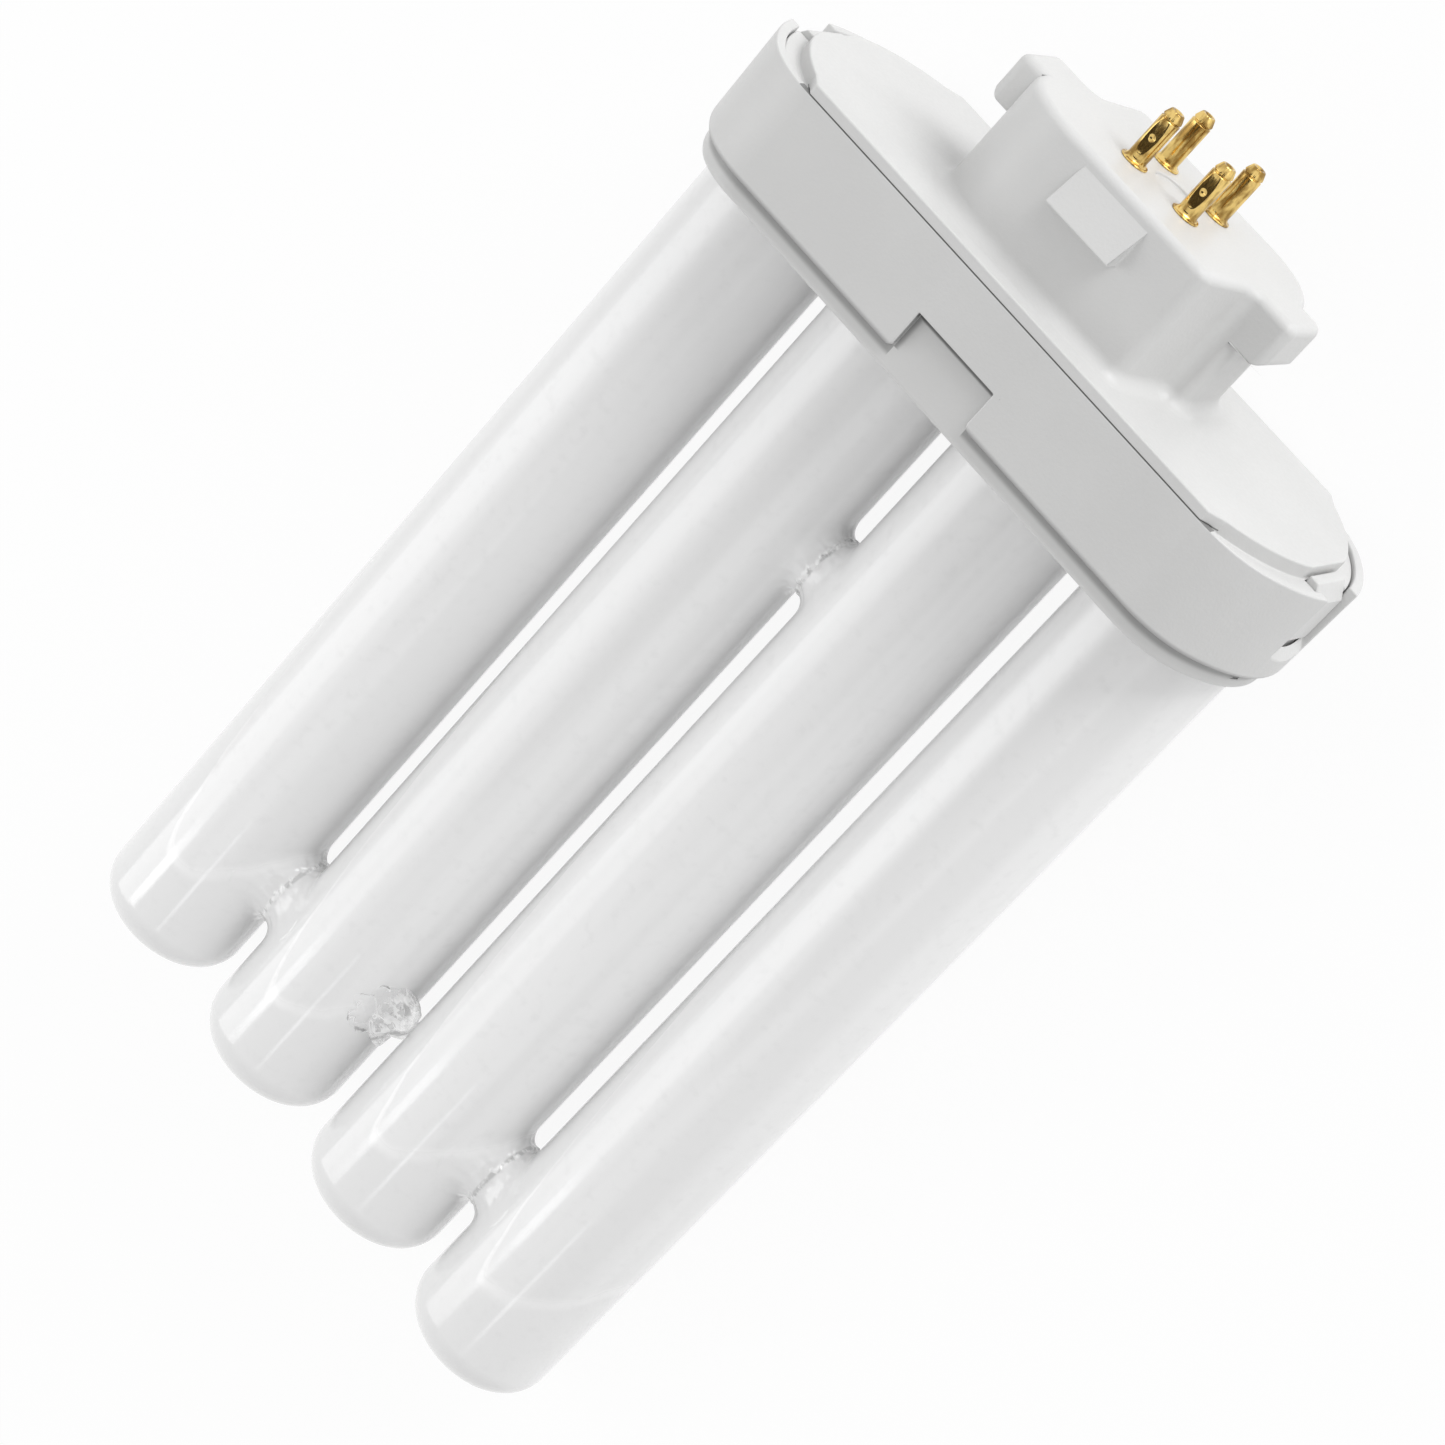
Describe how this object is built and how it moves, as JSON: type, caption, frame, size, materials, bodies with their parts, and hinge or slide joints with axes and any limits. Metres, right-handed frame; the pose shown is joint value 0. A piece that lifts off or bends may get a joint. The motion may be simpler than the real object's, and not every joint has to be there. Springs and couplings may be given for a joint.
{
  "type": "four pin compact fluorescent lamp",
  "caption": "Compact fluorescent lamp: a flat row of joined white glass tubes in a keyed plastic cap with contact pins, lying on its back.",
  "frame": {"origin": "middle of the four contact pins, on the face of the pin block that they stand on", "axes": "+Y along the lamp, out of the pin face toward the pin tips; +X along the row of tubes; +Z toward the broad front face. The lamp lies on its back face, with -Z down."},
  "size_m": [0.087, 0.164, 0.0368],
  "materials": {
    "coated_glass": "clear glass with an opaque white coating inside",
    "clear_glue": "clear set glue",
    "white_plastic": "satin white moulded plastic",
    "cement": "dull poured cement",
    "pin_brass": "polished drawn brass",
    "wire_metal": "bare drawn wire"
  },
  "bodies": {
    "root": {"glass_tubes": "coated_glass", "glue_drop": "clear_glue", "tube_holder": "white_plastic", "tube_cement": "cement", "skirt": "white_plastic", "pin_cover": "white_plastic", "contact_pin_left_front": "pin_brass", "contact_pin_left_back": "pin_brass", "contact_pin_right_front": "pin_brass", "contact_pin_right_back": "pin_brass", "lead_wire_left_front": "wire_metal", "lead_wire_left_back": "wire_metal", "lead_wire_right_front": "wire_metal", "lead_wire_right_back": "wire_metal"}
  },
  "joints": []
}
